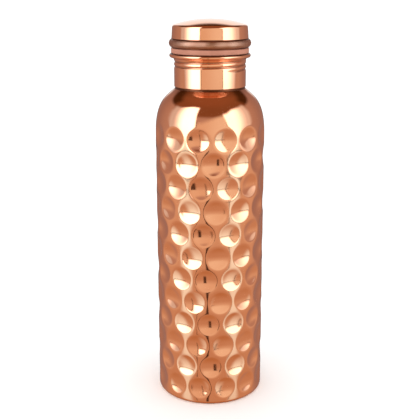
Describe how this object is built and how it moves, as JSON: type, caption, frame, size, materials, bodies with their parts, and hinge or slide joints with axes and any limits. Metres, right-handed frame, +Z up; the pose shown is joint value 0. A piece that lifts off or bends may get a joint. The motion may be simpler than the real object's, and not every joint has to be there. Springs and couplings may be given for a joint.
{
  "type": "copper water bottle",
  "caption": "Copper water bottle with a dimpled barrel, a plain rounded shoulder and a short neck, closed by a screw-in plug cap with a knurled ring, a low dome and a gasket.",
  "frame": {"origin": "centre of the foot, on the surface the bottle stands on", "axes": "+Z up along the bottle's axis, the thread's last visible turn runs out to the right of -Y, the front"},
  "size_m": [0.073, 0.073, 0.258],
  "materials": {
    "polished_copper": "polished lacquered copper, mirror-like with faint buffing marks",
    "bright_copper": "polished copper sheet of the cap, mirror-like",
    "knurled_copper": "knurled copper, browned in the grooves",
    "pink_silicone": "matte food-grade silicone, copper pink"
  },
  "bodies": {
    "bottle": {"body_shell": "polished_copper", "base_plate": "polished_copper", "neck_collar": "polished_copper"},
    "seal": {"gasket": "pink_silicone"},
    "cap": {"cap_plug": "bright_copper", "plug_end_disc": "bright_copper", "cap_grip_ring": "knurled_copper", "cap_dome": "bright_copper"}
  },
  "joints": [
    {"name": "cap_lift", "type": "slide", "parent": "bottle", "child": "seal", "axis": [0, 0, 1], "range_m": [0, 0.01501]},
    {"name": "cap_turn", "type": "hinge", "parent": "seal", "child": "cap", "pos_m": [0, 0, 0.2375], "axis": [0, 0, 1], "range_deg": [0, 1800]}
  ],
  "couplings": [
    {"joint": "cap_lift", "follows": "cap_turn", "m_per_rad": 0.00047746}
  ]
}
